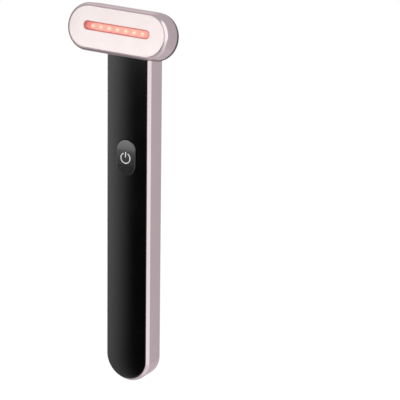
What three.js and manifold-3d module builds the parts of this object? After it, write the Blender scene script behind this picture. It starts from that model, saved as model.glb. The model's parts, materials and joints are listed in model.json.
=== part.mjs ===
// Red light therapy wand: a slim handle with a glossy front plate and a push button, and a T-shaped
// head with seven lamps behind a slot. The head leans back and swivels on a hollow spindle.
// Millimetres. +Z runs up the handle, the front faces -Y and +X is on the right of someone facing it.
// The origin lies below the middle of the wand's width and depth, level with its lowest point.

import * as THREE from "three";
import { mergeVertices } from "three/addons/utils/BufferGeometryUtils.js";
import Module from "manifold-3d";

const wasm = await Module();
wasm.setup();

// Clearances, cutting and facets
const seatGap = 0.15; // left between pieces that rest on each other
const runGap = 0.15; // left around a piece that slides or turns
const overrun = 1; // how far a cutting tool passes the face that it cuts
const fuse = 0.5; // how far a boss or post is sunk into the wall that carries it
const endFacets = 20; // facets in the half circle of a large round end
const holeFacets = 14; // facets in a full turn of a small bore, pin or screw
const turnFacets = 32; // facets in a full turn of the swivel's pieces

// Handle shell, a tray that is open to the front
const handleWidth = 21;
const handleLength = 155.5;
const handleDepth = 9.4;
const chamferWidth = 1.15;
const chamferDepth = 1.35;
const rearRadius = 0.6;
const shellBack = 1.2;
const rimLand = 0.1;
const ledgeWidth = 0.45;

// Front plate, crowned towards its middle
const plateThickness = 1.2;
const plateCrown = 0.5;

// Power button and the switch under it
const buttonDrop = 58; // from the handle's top end to the button's middle
const buttonWidth = 8.6;
const buttonLength = 14.9;
const buttonProud = 1.1;
const buttonPillow = 0.2;
const buttonBevel = 0.45;
const buttonFlange = 0.8;
const flangeThickness = 0.65;
const nubRadius = 1.5;
const nubHeight = 0.3;
const buttonTravel = 0.5;
const switchSize = 5.2;
const switchHeight = 1.6;
const plungerRadius = 1.2;
const plungerLength = 1.25;

// Circuit boards and the battery
const boardThickness = 0.8;
const boardSideRoom = 1.8;
const boardReach = 19; // from the button's middle to the board's lower end
const chipSize = 5;
const chipHeight = 0.9;
const chargeBoardWidth = 11;
const chargeBoardLength = 14;
const cellSideRoom = 1.3;
const cellEdge = 1;
const padThickness = 0.5;
const cellFrontRoom = 1.5;
const endRoom = 4; // between two pieces in line along the handle

// Charging socket in the lower end
const socketWidth = 8.94;
const socketHeight = 3.16;
const socketLength = 7.35;
const socketWall = 0.3;
const socketInset = 1.4;
const tongueWidth = 6.7;
const tongueThickness = 0.7;
const tongueRoot = 2.6;
const tongueInset = 0.6;

// Screws and the bosses that take them
const screwHeadRadius = 1.25;
const screwHeadHeight = 0.55;
const screwShankRadius = 0.6;
const bossWall = 0.95;
const boardScrewInset = 3;

// Vibration motor
const motorLength = 11;
const bootWall = 0.5;
const bootLength = 8;
const motorRibWidth = 1;
const motorBoardGap = 2;
const shaftRadius = 0.5;
const shaftSocket = 3;
const weightLength = 3.4;
const weightHub = 1.2;
const weightClearance = 0.65;

// Swivel: where its axis meets the back of the head, and how far the head leans back
const swivelDrop = 6.28; // from the handle's top end
const swivelInset = 0.55;
const headLean = THREE.MathUtils.degToRad(14.5);
const headGap = 0.6;
const neckMargin = 0.7; // below the collar
const neckScrewLength = 3;
const swivelBackRoom = 3.7; // from the collar's rear to the inside of the shell's back
const tabLength = 4.6;
const tabThickness = 1.6;
const spindleRadius = 2.3;
const spindleBore = 1.3;
const spindleFlangeWidth = 2.3;
const spindleFlangeThickness = 0.75;
const flangeScrewLength = 1.9;
const bushingWall = 0.75;
const bushingFlangeWidth = 0.8;
const bushingFlangeThickness = 0.8;
const stopPinRadius = 0.55;
const stopPinReach = 1.1;
const stopPinSeat = 1;
const collarWeb = 0.35;
const collarRim = 0.7;
const swivelTurn = Math.PI / 2; // each way from the T position
const washerWidth = 1.35;
const washerThickness = 0.25;
const washerWave = 0.2;
const washerWaves = 3;
const clipWidth = 2;
const clipThickness = 0.5;
const clipGrooveDepth = 0.45;
const clipMouth = THREE.MathUtils.degToRad(70);
const spindleTail = 0.3;

// Head
const headWidth = 46.4;
const headHeight = 19.1;
const headDepth = 9.5;
const rimWidth = 1.3;
const rimDepth = 1.5;
const rimBulge = 0.12;
const headWall = 1.5;
const faceThickness = 1;
const faceGap = 0.25;
const faceEdge = 0.15;
const faceLedgeWidth = 1;
const faceLedgeThickness = 1;
const coverLip = 1.1;
const coverInset = 0.05;
const coverEdge = 0.15;
const coverThickness = 1.6;
const coverSkirt = 0.8;
const skirtWall = 0.8;

// Lamps, their window and the board that carries them
const lampPitch = 3.85;
const lampEndRoom = 3.8; // from the slot's end to the middle of the first lamp
const lampRise = 0.5;
const lampRadius = 1.05;
const lampBase = 0.2;
const lampBaseHeight = 0.5;
const lampHeight = 2.4;
const slotSideRoom = 7.85; // from the slot's end to the side of the head
const slotHeight = 3.6;
const windowInset = 0.3;
const windowWall = 0.35;
const windowFlange = 1.4;
const windowFlangeThickness = 0.8;
const trayWall = 1.6;
const trayInnerMargin = 0.8;
const lampBoardRadius = 5.6;
const lampPostRadius = 1.9;
const lampPostInset = 1.7;
const filmThickness = 0.2;
const filmGap = 0.4;

// Cable from the main board to the lamps
const leadRadius = 0.6;
const leadSides = 8;
const leadSteps = 28;

// Finishes
function finish(color, roughness, metalness) {
  return new THREE.MeshStandardMaterial({ color, roughness, metalness, flatShading: true });
}
const roseMetal = finish(0xb9a2aa, 0.35, 0.8);
const glossBlack = finish(0x141416, 0.08, 0);
const mattBlack = finish(0x222224, 0.6, 0);
const satinFace = finish(0xf1e6e3, 0.35, 0.7);
const windowRed = finish(0xf0a8a0, 0.2, 0);
const lampGlow = finish(0xffdccb, 0.3, 0);
const whitePlastic = finish(0xf2efec, 0.5, 0);
const boardGreen = finish(0x1f5c3a, 0.5, 0);
const boardWhite = finish(0xe9ebe8, 0.5, 0);
const steel = finish(0xb8babd, 0.3, 1);
const brass = finish(0xb59a4c, 0.4, 1);
const cellSilver = finish(0xa9adb3, 0.4, 0.6);
const amberFilm = finish(0xb8762a, 0.4, 0);
const rubber = finish(0x2c2c2e, 0.9, 0);
const acetal = finish(0xdedbd2, 0.5, 0);
const redLead = finish(0xa83232, 0.6, 0);

// Solids

// The manifold-3d solid of a closed three.js geometry. Triangles that shrank to a line at a pole
// are left out.
function solid(geometry) {
  const bare = new THREE.BufferGeometry();
  bare.setAttribute("position", geometry.getAttribute("position"));
  bare.setIndex(geometry.getIndex());
  const merged = mergeVertices(bare);
  const index = merged.getIndex().array;
  const kept = [];
  for (let i = 0; i < index.length; i += 3) {
    const [a, b, c] = index.subarray(i, i + 3);
    if (a !== b && b !== c && c !== a) kept.push(a, b, c);
  }
  const mesh = new wasm.Mesh({
    numProp: 3,
    vertProperties: merged.getAttribute("position").array,
    triVerts: new Uint32Array(kept),
  });
  return new wasm.Manifold(mesh);
}

// Adds a solid to a group as a named mesh.
function addPiece(group, name, made, material) {
  const { vertProperties, triVerts } = made.getMesh();
  const geometry = new THREE.BufferGeometry();
  geometry.setAttribute("position", new THREE.BufferAttribute(vertProperties, 3));
  geometry.setIndex(new THREE.BufferAttribute(triVerts, 1));
  const mesh = new THREE.Mesh(geometry, material);
  mesh.name = name;
  group.add(mesh);
}

// A slab whose sections across Y are obrounds: two half circles joined by straight sides. The
// profile lists [radius, y] from front to back, and coreHalf is half the distance between the centres
// of the two round ends, which lie along X, or along Z for an upright slab.
function obround(coreHalf, profile, upright = false) {
  const ring = 2 * (endFacets + 1);
  const positions = [];
  for (const [radius, y] of profile) {
    for (const end of [1, -1]) {
      for (let step = 0; step <= endFacets; step += 1) {
        const angle = (step / endFacets - 1 / 2) * Math.PI;
        const along = end * (coreHalf + radius * Math.cos(angle));
        const across = end * radius * Math.sin(angle);
        positions.push(upright ? -across : along, y, upright ? along : across);
      }
    }
  }
  const index = [];
  for (let level = 0; level + 1 < profile.length; level += 1) {
    for (let i = 0; i < ring; i += 1) {
      const next = (i + 1) % ring;
      const front = level * ring;
      const back = front + ring;
      index.push(front + i, back + i, back + next);
      index.push(front + i, back + next, front + next);
    }
  }
  const last = (profile.length - 1) * ring;
  for (let i = 0; i < endFacets; i += 1) {
    const far = ring - 1 - i;
    index.push(i, i + 1, far - 1);
    index.push(i, far - 1, far);
    index.push(last + i + 1, last + i, last + far - 1);
    index.push(last + far - 1, last + i, last + far);
  }
  const geometry = new THREE.BufferGeometry();
  geometry.setAttribute("position", new THREE.Float32BufferAttribute(positions, 3));
  geometry.setIndex(index);
  return geometry;
}

// A body turned about the Y axis from [radius, y] pairs that run up the outside.
function turned(profile, facets = turnFacets) {
  const points = profile.map(([radius, y]) => new THREE.Vector2(radius, y));
  return new THREE.LatheGeometry(points, facets);
}

// A ring turned about the Y axis, with a plain bore.
function ringAboutY(inner, outer, from, to, facets = turnFacets) {
  const profile = [
    [inner, from],
    [outer, from],
    [outer, to],
    [inner, to],
    [inner, from],
  ];
  return turned(profile, facets);
}

// A round bar along Y.
function bar(radius, from, to, facets = holeFacets) {
  const profile = [
    [0, from],
    [radius, from],
    [radius, to],
    [0, to],
  ];
  return turned(profile, facets);
}

// A round bar along Z.
function uprightBar(radius, from, to, facets = turnFacets) {
  return bar(radius, from, to, facets).rotateX(Math.PI / 2);
}

// A box between two corners.
function box(low, high) {
  const size = high.map((value, axis) => value - low[axis]);
  const middle = high.map((value, axis) => (value + low[axis]) / 2);
  return new THREE.BoxGeometry(...size).translate(...middle);
}

// Points of a quarter ellipse from [radius, y] to [radius, y], which leaves the first point square to Y.
function quarterRound(from, to, steps = 3) {
  const points = [];
  for (let step = 0; step <= steps; step += 1) {
    const angle = (step / steps) * (Math.PI / 2);
    const radius = to[0] + (from[0] - to[0]) * Math.cos(angle);
    points.push([radius, from[1] + (to[1] - from[1]) * Math.sin(angle)]);
  }
  return points;
}

// Points of a shallow arc between two [radius, y] points that stands out from the straight line by bulge.
function shallowArc(from, to, bulge, steps = 3) {
  const run = [to[0] - from[0], to[1] - from[1]];
  const length = Math.hypot(...run);
  const points = [];
  for (let step = 0; step <= steps; step += 1) {
    const share = step / steps;
    const rise = 4 * bulge * share * (1 - share);
    points.push([
      from[0] + run[0] * share + (run[1] / length) * rise,
      from[1] + run[1] * share - (run[0] / length) * rise,
    ]);
  }
  return points;
}

// A pan head screw along Y that bears at seat and points to +Y.
function screw(x, seat, z, length) {
  const crown = screwHeadRadius / 4;
  const profile = [
    [0, seat - screwHeadHeight],
    [screwHeadRadius - crown, seat - screwHeadHeight],
    [screwHeadRadius, seat - screwHeadHeight + crown],
    [screwHeadRadius, seat],
    [screwShankRadius, seat],
    [screwShankRadius, seat + length],
    [0, seat + length],
  ];
  return turned(profile, holeFacets).translate(x, 0, z);
}

// Sizes that follow from the named ones

const buttonHeight = handleLength - buttonDrop;
const swivelHeight = handleLength - swivelDrop;

const handleRadius = handleWidth / 2;
const handleCore = handleLength / 2 - handleRadius;
const handleMiddle = handleLength / 2;
const rebateRadius = handleRadius - chamferWidth - rimLand;
const innerRadius = rebateRadius - ledgeWidth;
const ledge = plateThickness + seatGap;
const innerBack = handleDepth - shellBack;
const bossRadius = screwShankRadius + runGap + bossWall;

// From the front plate's back to the board, through the button and the switch
const flangeFront = plateThickness + runGap;
const flangeBack = flangeFront + flangeThickness;
const nubBack = flangeBack + nubHeight;
const plungerFront = nubBack + runGap;
const switchFront = plungerFront + buttonTravel + seatGap;
const boardFront = switchFront + switchHeight;
const boardBack = boardFront + boardThickness;

// The swivel's frame: Y runs along the axis into the handle, and Y = 0 is the back of the head
const swivelFrame = new THREE.Matrix4();
swivelFrame.makeRotationX(-headLean);
swivelFrame.setPosition(0, swivelInset, swivelHeight);

const neckRear = (innerBack - swivelBackRoom - swivelInset) / Math.cos(headLean);
const bushingBack = neckRear + seatGap;
const washerMiddle = bushingBack + seatGap + washerWave + washerThickness / 2;
const clipFront = washerMiddle + washerWave + washerThickness / 2 + seatGap;
const clipBack = clipFront + clipThickness;
const spindleEnd = clipBack + seatGap + spindleTail;
const bushingInner = spindleRadius + runGap;
const bushingOuter = bushingInner + bushingWall;
const bushingFlangeRadius = bushingOuter + bushingFlangeWidth;
const stopInner = bushingFlangeRadius + seatGap + collarWeb;
const stopRadius = stopInner + runGap + stopPinRadius;
const collarRadius = stopRadius + stopPinRadius + runGap + collarRim;
const neckLow = swivelHeight - collarRadius - neckMargin;
const tabFront = plateThickness + seatGap;
const tabBack = tabFront + tabThickness;
const tabLow = neckLow - tabLength;

// Groups: one for each body, and the swivel's frame once for the handle and once for the head
const wand = new THREE.Group();
const handle = new THREE.Group();
const button = new THREE.Group();
const rotor = new THREE.Group();
const swivel = new THREE.Group();
const head = new THREE.Group();
for (const leaning of [swivel, head]) {
  leaning.rotation.x = -headLean;
  leaning.position.set(0, swivelInset, swivelHeight);
}
wand.add(handle, button, rotor, swivel, head);

// Moves a shape from the swivel's frame to the handle's.
function leaning(geometry) {
  return geometry.applyMatrix4(swivelFrame);
}

// Everything in front of this tilted plane is left to the head
function headRoom() {
  const reach = handleLength;
  return leaning(box([-reach, -reach, -handleWidth], [reach, headGap, handleWidth]));
}

// Handle shell: the rose metal tray, with its bevelled front edge, its bosses and the socket's opening

const socketFree = innerBack - plateThickness - socketHeight - boardThickness - seatGap;
const socketFrontShare = 0.62;
const socketMiddle = plateThickness + socketFree * socketFrontShare + socketHeight / 2;
const chargeBoardFront = socketMiddle + socketHeight / 2 + seatGap;
const chargeBoardBack = chargeBoardFront + boardThickness;
const chargeBoardLow = handleRadius - Math.sqrt(innerRadius ** 2 - (chargeBoardWidth / 2) ** 2) + fuse;
const chargeBoardHigh = chargeBoardLow + chargeBoardLength;
const neckScrewX = innerRadius - bossRadius - bossWall;
const neckScrewZ = tabLow + tabLength / 2;

// From the neck down: the motor's weight, the motor and the main board
const weightHigh = tabLow - endRoom;
const weightLow = weightHigh - weightLength;
const motorHigh = weightLow - weightClearance;
const motorLow = motorHigh - motorLength;
const motorMiddle = (plateThickness + innerBack) / 2;
const bootRadius = innerBack - motorMiddle - seatGap;
const motorRadius = bootRadius - bootWall - seatGap;
const bootLow = motorLow + (motorLength - bootLength) / 2;
const boardHigh = motorLow - motorBoardGap;
const boardLow = buttonHeight - boardReach;
const boardWidth = 2 * (innerRadius - boardSideRoom);
const boardScrewZ = [boardLow + boardScrewInset, boardHigh - boardScrewInset];

function socketOutline(grow) {
  const radius = socketHeight / 2 + grow;
  const flat = (socketWidth - socketHeight) / 2;
  const outline = new THREE.Shape();
  outline.absarc(flat, 0, radius, -Math.PI / 2, Math.PI / 2);
  outline.absarc(-flat, 0, radius, Math.PI / 2, (3 * Math.PI) / 2);
  return outline;
}

// A bar with the socket's rounded section, grown by the given amount, along Z
function socketBar(grow, from, to) {
  const options = { depth: to - from, bevelEnabled: false, curveSegments: holeFacets / 2 };
  return new THREE.ExtrudeGeometry(socketOutline(grow), options).translate(0, socketMiddle, from);
}

function handleShell() {
  const outside = [
    [handleRadius - chamferWidth, 0],
    [handleRadius, chamferDepth],
    ...quarterRound([handleRadius, handleDepth - rearRadius], [handleRadius - rearRadius, handleDepth]),
  ];
  const inside = [
    [rebateRadius, -overrun],
    [rebateRadius, ledge],
    [innerRadius, ledge],
    [innerRadius, innerBack],
  ];
  let shell = solid(obround(handleCore, outside, true).translate(0, 0, handleMiddle));
  shell = shell.subtract(solid(obround(handleCore, inside, true).translate(0, 0, handleMiddle)));
  const root = innerBack + fuse;
  const bosses = [
    [-neckScrewX, tabBack + seatGap, neckScrewZ],
    [neckScrewX, tabBack + seatGap, neckScrewZ],
    [0, boardBack + seatGap, boardScrewZ[0]],
    [0, boardBack + seatGap, boardScrewZ[1]],
    [0, chargeBoardBack + seatGap, chargeBoardHigh - boardScrewInset],
  ];
  for (const [x, top, z] of bosses) {
    shell = shell.add(solid(bar(bossRadius, top, root).translate(x, 0, z)));
  }
  for (const side of [-1, 1]) {
    const inner = side * (bootRadius + seatGap);
    const outer = side * (bootRadius + seatGap + motorRibWidth);
    const low = [Math.min(inner, outer), motorMiddle, bootLow];
    const high = [Math.max(inner, outer), root, bootLow + bootLength];
    shell = shell.add(solid(box(low, high)));
  }
  for (const [x, top, z] of bosses) {
    const pilot = bar(screwShankRadius + runGap, top - overrun, innerBack).translate(x, 0, z);
    shell = shell.subtract(solid(pilot));
  }
  shell = shell.subtract(solid(socketBar(seatGap, -overrun, handleRadius)));
  const swivelRoom = bar(bushingFlangeRadius + seatGap, 0, spindleEnd, turnFacets);
  return shell.subtract(solid(leaning(swivelRoom))).subtract(solid(headRoom()));
}
addPiece(handle, "handle_shell", handleShell(), roseMetal);

// Front plate: glossy, set in the shell's rebate, with the button's opening

const plateRadius = rebateRadius - seatGap;
const plateHigh = neckLow - seatGap;
const buttonCore = (buttonLength - buttonWidth) / 2;

// The crowned front's place at a distance from the core line
function plateFront(radius) {
  return -plateCrown * (1 - (radius / plateRadius) ** 2);
}

function frontPlate() {
  const crownSteps = 5;
  const profile = [];
  for (let step = 1; step <= crownSteps; step += 1) {
    const radius = (plateRadius * step) / crownSteps;
    profile.push([radius, plateFront(radius)]);
  }
  profile.push([plateRadius, plateThickness]);
  const opening = [
    [buttonWidth / 2 + runGap, -plateCrown - overrun],
    [buttonWidth / 2 + runGap, plateThickness + overrun],
  ];
  const reach = handleLength;
  const above = box([-reach, -reach, plateHigh], [reach, reach, plateHigh + reach]);
  return solid(obround(handleCore, profile, true).translate(0, 0, handleMiddle))
    .subtract(solid(above))
    .subtract(solid(obround(buttonCore, opening, true).translate(0, 0, buttonHeight)));
}
addPiece(handle, "front_plate", frontPlate(), glossBlack);

// Power button: a low pillow with a bevelled edge, a flange that holds it in and a nub for the switch

function buttonCap() {
  const radius = buttonWidth / 2;
  const top = -plateCrown - buttonProud;
  const bevelTop = top + buttonPillow;
  const bevelInner = radius - buttonBevel;
  const pillowSteps = 2;
  const profile = [];
  for (let step = 1; step <= pillowSteps; step += 1) {
    const share = step / pillowSteps;
    profile.push([bevelInner * share, top + buttonPillow * share ** 2]);
  }
  const bevel = shallowArc([bevelInner, bevelTop], [radius, bevelTop + buttonBevel], buttonBevel / 6);
  profile.push(...bevel.slice(1));
  profile.push([radius, flangeFront]);
  profile.push([radius + buttonFlange, flangeFront]);
  profile.push([radius + buttonFlange, flangeBack]);
  return solid(obround(buttonCore, profile, true))
    .add(solid(bar(nubRadius, flangeBack - flangeThickness / 2, nubBack)));
}
button.position.z = buttonHeight;
addPiece(button, "button_cap", buttonCap(), glossBlack);

// Switch: the body on the board, and the plunger that moves with the button

const plungerBack = plungerFront + plungerLength;
addPiece(button, "switch_plunger", solid(bar(plungerRadius, plungerFront, plungerBack)), whitePlastic);

function switchBody() {
  const half = switchSize / 2;
  const low = [-half, switchFront, buttonHeight - half];
  const high = [half, boardFront, buttonHeight + half];
  const well = bar(plungerRadius + runGap, switchFront - overrun, plungerBack + buttonTravel + seatGap);
  return solid(box(low, high)).subtract(solid(well.translate(0, 0, buttonHeight)));
}
addPiece(handle, "switch_body", switchBody(), mattBlack);

// Main board, its controller chip and its two screws

function mainBoard() {
  const low = [-boardWidth / 2, boardFront + seatGap, boardLow];
  const high = [boardWidth / 2, boardBack, boardHigh];
  let board = solid(box(low, high));
  for (const z of boardScrewZ) {
    const hole = bar(screwShankRadius + runGap, boardFront - overrun, boardBack + overrun);
    board = board.subtract(solid(hole.translate(0, 0, z)));
  }
  return board;
}
addPiece(handle, "main_board", mainBoard(), boardGreen);
boardScrewZ.forEach((z, i) => {
  const made = solid(screw(0, boardFront, z, innerBack - boardFront - seatGap));
  addPiece(handle, `board_screw_${i + 1}`, made, steel);
});

function chip() {
  const x = boardWidth / 4 - chipSize / 2;
  const z = (buttonHeight - switchSize / 2 + boardScrewZ[0] + screwHeadRadius) / 2;
  const low = [x, boardFront - chipHeight, z - chipSize / 2];
  return solid(box(low, [x + chipSize, boardFront, z + chipSize / 2]));
}
addPiece(handle, "controller_chip", chip(), mattBlack);

// Charging socket: its small board, the metal shell and the moulded insert with its contact tongue

const socketEnd = socketInset + socketLength;

function chargeBoard() {
  const half = chargeBoardWidth / 2;
  const low = [-half, chargeBoardFront, chargeBoardLow];
  const hole = bar(screwShankRadius + runGap, chargeBoardFront - overrun, chargeBoardBack + overrun);
  return solid(box(low, [half, chargeBoardBack, chargeBoardHigh]))
    .subtract(solid(hole.translate(0, 0, chargeBoardHigh - boardScrewInset)));
}
addPiece(handle, "charge_board", chargeBoard(), boardGreen);

function chargeBoardScrew() {
  const seat = chargeBoardFront - seatGap;
  return solid(screw(0, seat, chargeBoardHigh - boardScrewInset, innerBack - chargeBoardFront));
}
addPiece(handle, "charge_board_screw", chargeBoardScrew(), steel);
addPiece(
  handle,
  "charge_socket_shell",
  solid(socketBar(0, socketInset, socketEnd))
    .subtract(solid(socketBar(-socketWall, socketInset - overrun, socketEnd + overrun))),
  steel,
);

function socketInsert() {
  const grow = -socketWall - seatGap / 2;
  const low = [-tongueWidth / 2, socketMiddle - tongueThickness / 2, socketInset + tongueInset];
  const high = [tongueWidth / 2, socketMiddle + tongueThickness / 2, socketEnd - tongueRoot / 2];
  return solid(socketBar(grow, socketEnd - tongueRoot, socketEnd)).add(solid(box(low, high)));
}
addPiece(handle, "charge_socket_insert", socketInsert(), mattBlack);

// Battery: a pouch cell with folded edges on a foam pad, in the room between the two boards

const cellWidth = 2 * (innerRadius - cellSideRoom);
const cellLow = chargeBoardHigh + endRoom;
const cellHigh = boardLow - endRoom;
const padBack = innerBack - seatGap;
const padFront = padBack - padThickness;
const cellBack = padFront - seatGap;
const cellFront = plateThickness + cellFrontRoom;

function batteryCell() {
  const shape = new THREE.Shape();
  const across = cellWidth / 2 - cellEdge;
  const deep = (cellBack - cellFront) / 2 - cellEdge;
  shape.absarc(across, deep, cellEdge, 0, Math.PI / 2);
  shape.absarc(-across, deep, cellEdge, Math.PI / 2, Math.PI);
  shape.absarc(-across, -deep, cellEdge, Math.PI, (3 * Math.PI) / 2);
  shape.absarc(across, -deep, cellEdge, (3 * Math.PI) / 2, 2 * Math.PI);
  const options = { depth: cellHigh - cellLow, bevelEnabled: false, curveSegments: holeFacets / 5 };
  const geometry = new THREE.ExtrudeGeometry(shape, options);
  return solid(geometry.translate(0, (cellFront + cellBack) / 2, cellLow));
}
addPiece(handle, "battery_cell", batteryCell(), cellSilver);

const padInset = cellEdge * 2;
const padHalf = cellWidth / 2 - padInset;
const padBox = box([-padHalf, padFront, cellLow + padInset], [padHalf, padBack, cellHigh - padInset]);
addPiece(handle, "battery_pad", solid(padBox), rubber);

// Vibration motor in its rubber boot, with the off-centre weight on its shaft

function atMotor(geometry) {
  return geometry.translate(0, motorMiddle, 0);
}
const motorBore = uprightBar(shaftRadius + runGap, motorHigh - shaftSocket, motorHigh + overrun);
addPiece(
  handle,
  "motor_can",
  solid(atMotor(uprightBar(motorRadius, motorLow, motorHigh))).subtract(solid(atMotor(motorBore))),
  steel,
);
const boot = ringAboutY(motorRadius + seatGap, bootRadius, bootLow, bootLow + bootLength);
addPiece(handle, "motor_boot", solid(atMotor(boot.rotateX(Math.PI / 2))), rubber);

const shaftLow = motorHigh - shaftSocket + seatGap;
rotor.position.y = motorMiddle;
addPiece(rotor, "motor_shaft", solid(uprightBar(shaftRadius, shaftLow, weightHigh + seatGap)), steel);

function eccentricWeight() {
  const half = new THREE.Shape();
  half.absarc(0, 0, motorRadius, Math.PI, 2 * Math.PI);
  half.absarc(0, 0, weightHub, 0, Math.PI);
  const hole = new THREE.Path();
  hole.absarc(0, 0, shaftRadius + seatGap / 2, 0, 2 * Math.PI, true);
  half.holes.push(hole);
  const options = { depth: weightLength, bevelEnabled: false, curveSegments: holeFacets / 2 };
  return solid(new THREE.ExtrudeGeometry(half, options).translate(0, 0, weightLow));
}
addPiece(rotor, "eccentric_weight", eccentricWeight(), brass);

// Neck block: closes the top of the shell and carries the swivel's bushing in a tilted collar

// An arc groove around the swivel's axis, centred on the collar's lower side
function stopGroove() {
  const play = Math.asin((stopPinRadius + runGap) / stopRadius);
  const from = -Math.PI / 2 - swivelTurn - play;
  const to = -Math.PI / 2 + swivelTurn + play;
  const outer = stopRadius + stopPinRadius + runGap;
  const shape = new THREE.Shape();
  shape.absarc(0, 0, outer, from, to);
  shape.absarc(0, 0, stopInner, to, from, true);
  const depth = stopPinReach + runGap + overrun;
  const options = { depth, bevelEnabled: false, curveSegments: turnFacets / 2 };
  const geometry = new THREE.ExtrudeGeometry(shape, options).rotateX(Math.PI / 2);
  return geometry.translate(0, headGap + stopPinReach + runGap, 0);
}

function neckBlock() {
  const lipBack = ledge - seatGap;
  const profile = [
    [plateRadius, 0],
    [plateRadius, lipBack],
    [innerRadius - seatGap, lipBack],
    [innerRadius - seatGap, innerBack],
  ];
  const reach = handleLength;
  const below = box([-reach, -reach, -reach], [reach, reach, neckLow]);
  const behind = leaning(box([-reach, neckRear, -reach], [reach, neckRear + reach, reach]));
  const tabHalf = innerRadius - seatGap;
  const tab = box([-tabHalf, tabFront, tabLow], [tabHalf, tabBack, neckLow + neckMargin]);
  const sill = box([-tabHalf, lipBack / 2, neckLow], [tabHalf, tabBack, neckLow + neckMargin]);
  let block = solid(obround(handleCore, profile, true).translate(0, 0, handleMiddle))
    .subtract(solid(below))
    .subtract(solid(behind))
    .subtract(solid(headRoom()));
  const room = [
    [innerRadius - seatGap, -handleDepth],
    [innerRadius - seatGap, innerBack],
  ];
  const collar = solid(leaning(bar(collarRadius, headGap, neckRear, turnFacets)));
  block = block.add(collar.intersect(solid(obround(handleCore, room, true).translate(0, 0, handleMiddle))));
  block = block.add(solid(tab)).add(solid(sill));
  const flangeSeat = bushingFlangeRadius + seatGap;
  const flangeDepth = headGap / 2 + bushingFlangeThickness + seatGap;
  block = block
    .subtract(solid(leaning(bar(bushingOuter + seatGap, 0, neckRear + overrun, turnFacets))))
    .subtract(solid(leaning(bar(flangeSeat, 0, flangeDepth, turnFacets))))
    .subtract(solid(leaning(stopGroove())));
  for (const x of [-neckScrewX, neckScrewX]) {
    const seat = tabFront + screwHeadHeight + seatGap;
    const well = bar(screwHeadRadius + seatGap, tabFront - overrun, seat).translate(x, 0, neckScrewZ);
    const hole = bar(screwShankRadius + runGap, tabFront, tabBack + overrun).translate(x, 0, neckScrewZ);
    block = block.subtract(solid(well)).subtract(solid(hole));
  }
  return block;
}
addPiece(handle, "neck_block", neckBlock(), mattBlack);
[-neckScrewX, neckScrewX].forEach((x, i) => {
  const made = solid(screw(x, tabFront + screwHeadHeight, neckScrewZ, neckScrewLength));
  addPiece(handle, `neck_screw_${i + 1}`, made, steel);
});

// Swivel: flanged bushing, wave washer and retaining clip around the hollow spindle

const bushingProfile = [
  [bushingInner, headGap / 2],
  [bushingFlangeRadius, headGap / 2],
  [bushingFlangeRadius, headGap / 2 + bushingFlangeThickness],
  [bushingOuter, headGap / 2 + bushingFlangeThickness],
  [bushingOuter, bushingBack],
  [bushingInner, bushingBack],
  [bushingInner, headGap / 2],
];
addPiece(swivel, "swivel_bushing", solid(turned(bushingProfile)), acetal);

// A flat ring whose faces rise and fall along Y, three times in a turn
function waveWasher() {
  const inner = spindleRadius + runGap;
  const low = washerMiddle - washerThickness / 2;
  const geometry = ringAboutY(inner, inner + washerWidth, low, low + washerThickness);
  const place = geometry.getAttribute("position");
  for (let i = 0; i < place.count; i += 1) {
    const angle = Math.atan2(place.getX(i), place.getZ(i));
    place.setY(i, place.getY(i) + washerWave * Math.cos(washerWaves * angle));
  }
  return solid(geometry);
}
addPiece(swivel, "wave_washer", waveWasher(), steel);

function retainingClip() {
  const inner = spindleRadius - clipGrooveDepth + seatGap / 2;
  const from = -Math.PI / 2 + clipMouth / 2;
  const to = (3 * Math.PI) / 2 - clipMouth / 2;
  const shape = new THREE.Shape();
  shape.absarc(0, 0, inner + clipWidth, from, to);
  shape.absarc(0, 0, inner, to, from, true);
  const options = { depth: clipThickness, bevelEnabled: false, curveSegments: turnFacets / 2 };
  return solid(new THREE.ExtrudeGeometry(shape, options).rotateX(Math.PI / 2).translate(0, clipBack, 0));
}
addPiece(head, "retaining_clip", retainingClip(), steel);

const coverFront = -coverThickness;
const flangeRear = coverFront - seatGap;
const flangeFace = flangeRear - spindleFlangeThickness;
const spindleFlangeRadius = spindleRadius + spindleFlangeWidth;
const flangeScrewRadius = (spindleRadius + spindleFlangeRadius) / 2;
const flangeScrewAngles = [0, 1, 2].map((turn) => (turn * 2 * Math.PI) / 3);

function aroundAxis(geometry, radius, angle) {
  return geometry.translate(radius * Math.sin(angle), 0, radius * Math.cos(angle));
}

function spindle() {
  const groove = spindleRadius - clipGrooveDepth;
  const profile = [
    [spindleBore, flangeFace],
    [spindleFlangeRadius, flangeFace],
    [spindleFlangeRadius, flangeRear],
    [spindleRadius, flangeRear],
    [spindleRadius, clipFront - seatGap / 2],
    [groove, clipFront - seatGap / 2],
    [groove, clipBack + seatGap / 2],
    [spindleRadius, clipBack + seatGap / 2],
    [spindleRadius, spindleEnd],
    [spindleBore, spindleEnd],
    [spindleBore, flangeFace],
  ];
  let made = solid(turned(profile));
  for (const angle of flangeScrewAngles) {
    const hole = bar(screwShankRadius + runGap, flangeFace - overrun, flangeRear + overrun / 2);
    made = made.subtract(solid(aroundAxis(hole, flangeScrewRadius, angle)));
  }
  return made;
}
addPiece(head, "swivel_spindle", spindle(), steel);
flangeScrewAngles.forEach((angle, i) => {
  const geometry = screw(0, flangeFace - seatGap, 0, flangeScrewLength);
  const made = solid(aroundAxis(geometry, flangeScrewRadius, angle));
  addPiece(head, `spindle_screw_${i + 1}`, made, steel);
});

const pinRoot = -stopPinSeat;
const stopPin = bar(stopPinRadius, pinRoot, headGap + stopPinReach).translate(0, 0, -stopRadius);
addPiece(head, "stop_pin", solid(stopPin), steel);

// Head housing: an obround tub with a bevelled rim, a ledge for the face plate and two lamp board posts

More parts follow.
